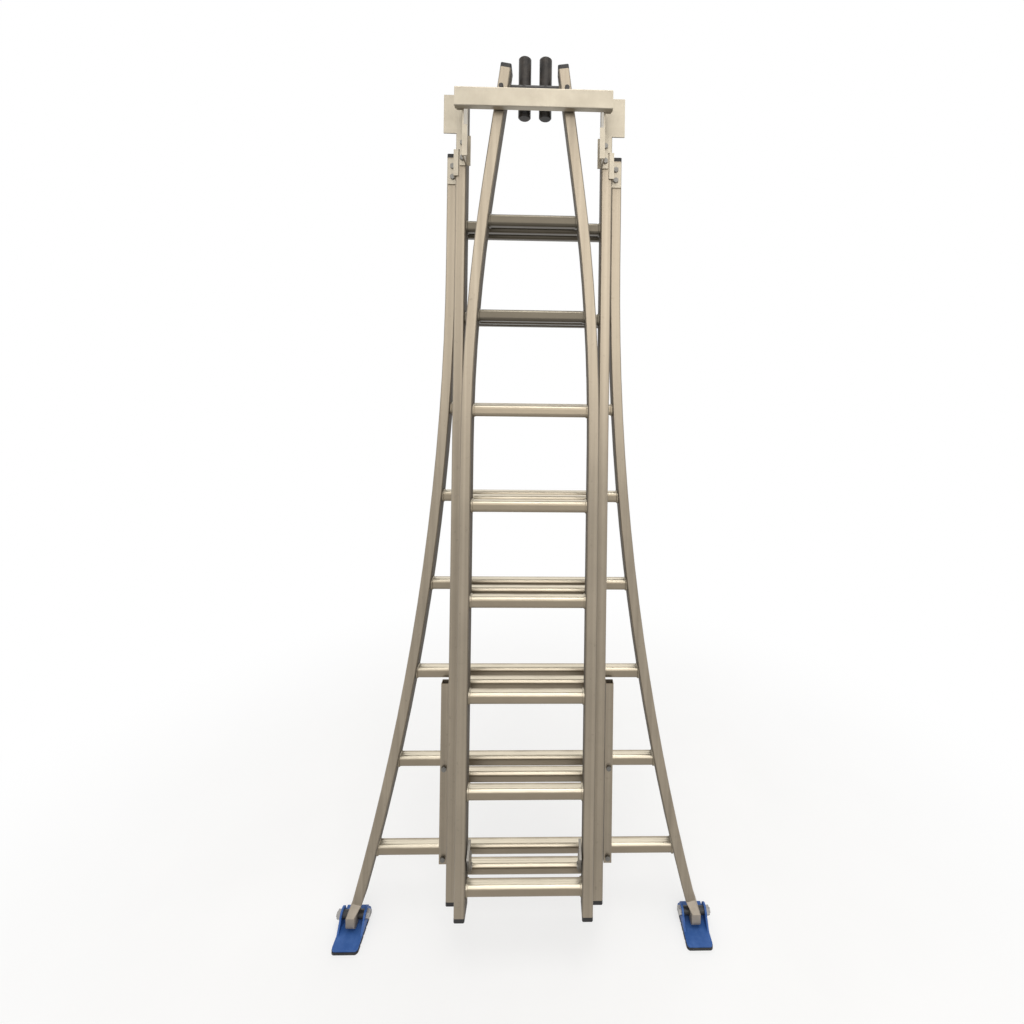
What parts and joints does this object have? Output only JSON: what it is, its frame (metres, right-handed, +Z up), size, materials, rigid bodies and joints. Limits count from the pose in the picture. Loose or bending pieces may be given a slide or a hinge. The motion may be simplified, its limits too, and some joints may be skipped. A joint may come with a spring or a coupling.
{
  "type": "tapered window cleaning ladder",
  "caption": "Three-section aluminium window cleaning ladder, nested: bowed wide base with swivel feet, straight middle, tapered top with rubber wall buffers.",
  "frame": {"origin": "on the floor, midway between the two feet and at the middle of the whole depth", "axes": "+Z up along the ladder, +X to the climber's right, +Y towards the wall the ladder leans on"},
  "size_m": [1.0568, 0.191, 2.414],
  "materials": {
    "stile_aluminium": "mill-finish extrusion, satin",
    "rung_aluminium": "mill-finish extrusion, satin",
    "bracket_aluminium": "mill-finish plate, satin",
    "cast_aluminium": "sand-cast, matt",
    "zinc_steel": "zinc plated",
    "lock_steel": "zinc plated, dull",
    "cap_plastic": "moulded, matt",
    "buffer_rubber": "matt rubber",
    "head_black": "black powder coat, matt",
    "shoe_blue": "moulded, matt blue",
    "sole_rubber": "matt rubber"
  },
  "bodies": {
    "base": {"base_stile_left": "stile_aluminium", "base_stile_right": "stile_aluminium", "base_rung_1": "rung_aluminium", "base_rung_2": "rung_aluminium", "base_rung_3": "rung_aluminium", "base_rung_4": "rung_aluminium", "base_rung_5": "rung_aluminium", "base_rung_6": "rung_aluminium", "base_rung_7": "rung_aluminium", "base_rung_8": "rung_aluminium", "base_end_caps": "cap_plastic", "base_guide_left": "bracket_aluminium", "base_guide_right": "bracket_aluminium", "lower_rail_left": "stile_aluminium", "lower_rail_right": "stile_aluminium", "base_bolts": "zinc_steel", "ankle_left": "cast_aluminium", "ankle_right": "cast_aluminium"},
    "middle": {"middle_stile_left": "stile_aluminium", "middle_stile_right": "stile_aluminium", "middle_rung_1": "rung_aluminium", "middle_rung_2": "rung_aluminium", "middle_rung_3": "rung_aluminium", "middle_rung_4": "rung_aluminium", "middle_rung_5": "rung_aluminium", "middle_rung_6": "rung_aluminium", "middle_rung_7": "rung_aluminium", "middle_rung_8": "rung_aluminium", "middle_end_caps": "cap_plastic", "yoke_bracket_left": "bracket_aluminium", "yoke_bracket_right": "bracket_aluminium", "yoke_crossbar": "bracket_aluminium", "yoke_bolts": "zinc_steel"},
    "top": {"top_stile_left": "stile_aluminium", "top_stile_right": "stile_aluminium", "top_rung_1": "rung_aluminium", "top_rung_2": "rung_aluminium", "top_rung_3": "rung_aluminium", "top_rung_4": "rung_aluminium", "top_rung_5": "rung_aluminium", "top_rung_6": "rung_aluminium", "top_rung_7": "rung_aluminium", "top_rung_8": "rung_aluminium", "head_rung": "head_black", "top_end_caps": "cap_plastic", "wall_buffer_left": "buffer_rubber", "wall_buffer_right": "buffer_rubber", "buffer_bolts": "zinc_steel", "stop_pins": "zinc_steel"},
    "foot_left": {"shoe_left": "shoe_blue", "sole_left": "sole_rubber", "foot_pivot_left": "zinc_steel"},
    "middle_hook_left": {"middle_lock_left": "lock_steel"},
    "top_hook_left": {"top_lock_left": "lock_steel"},
    "foot_right": {"shoe_right": "shoe_blue", "sole_right": "sole_rubber", "foot_pivot_right": "zinc_steel"},
    "middle_hook_right": {"middle_lock_right": "lock_steel"},
    "top_hook_right": {"top_lock_right": "lock_steel"}
  },
  "joints": [
    {"name": "middle_slide", "type": "slide", "parent": "base", "child": "middle", "axis": [0, 0, 1], "range_m": [0, 1.25]},
    {"name": "top_slide", "type": "slide", "parent": "middle", "child": "top", "axis": [0, 0, 1], "range_m": [0, 1.25]},
    {"name": "foot_swivel_left", "type": "hinge", "parent": "base", "child": "foot_left", "pos_m": [-0.48041, 0.0545, 0.034], "axis": [1, 0, 0], "range_deg": [0, 30]},
    {"name": "middle_hook_swing_left", "type": "hinge", "parent": "middle", "child": "middle_hook_left", "pos_m": [-0.177, 0.0225, 0.255], "axis": [1, 0, 0], "range_deg": [-130, 0]},
    {"name": "top_hook_swing_left", "type": "hinge", "parent": "top", "child": "top_hook_left", "pos_m": [-0.145, -0.0325, 0.255], "axis": [1, 0, 0], "range_deg": [-130, 0]},
    {"name": "foot_swivel_right", "type": "hinge", "parent": "base", "child": "foot_right", "pos_m": [0.48041, 0.0545, 0.034], "axis": [1, 0, 0], "range_deg": [0, 30]},
    {"name": "middle_hook_swing_right", "type": "hinge", "parent": "middle", "child": "middle_hook_right", "pos_m": [0.177, 0.0225, 0.255], "axis": [1, 0, 0], "range_deg": [-130, 0]},
    {"name": "top_hook_swing_right", "type": "hinge", "parent": "top", "child": "top_hook_right", "pos_m": [0.145, -0.0325, 0.255], "axis": [1, 0, 0], "range_deg": [-130, 0]}
  ]
}
